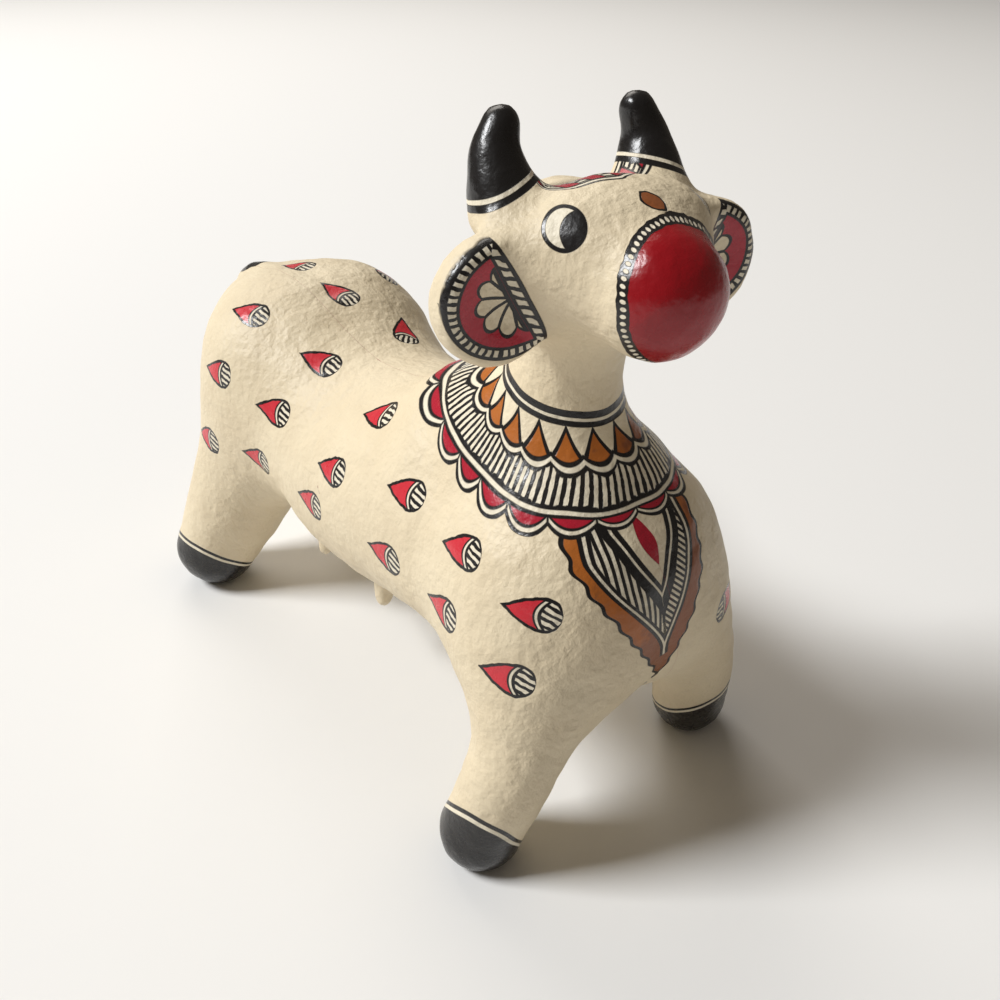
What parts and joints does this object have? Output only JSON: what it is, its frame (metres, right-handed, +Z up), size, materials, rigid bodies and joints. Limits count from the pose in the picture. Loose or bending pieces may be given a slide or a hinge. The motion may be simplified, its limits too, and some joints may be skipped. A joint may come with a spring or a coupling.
{
  "type": "papier-mache cow figurine",
  "caption": "Standing papier-mache cow figurine with a turned head, dished ears and spread legs, painted cream with folk patterns.",
  "frame": {"origin": "on the ground under the middle of the figure's outer box", "axes": "+Z up, the cow faces -Y, its right side is -X"},
  "size_m": [0.113, 0.2228, 0.188],
  "materials": {
    "painted_pulp": "softly glossy cream paint over paper pulp, with black, red, white and brown brush patterns"
  },
  "bodies": {
    "root": {"papier_mache_cow": "painted_pulp"}
  },
  "joints": []
}
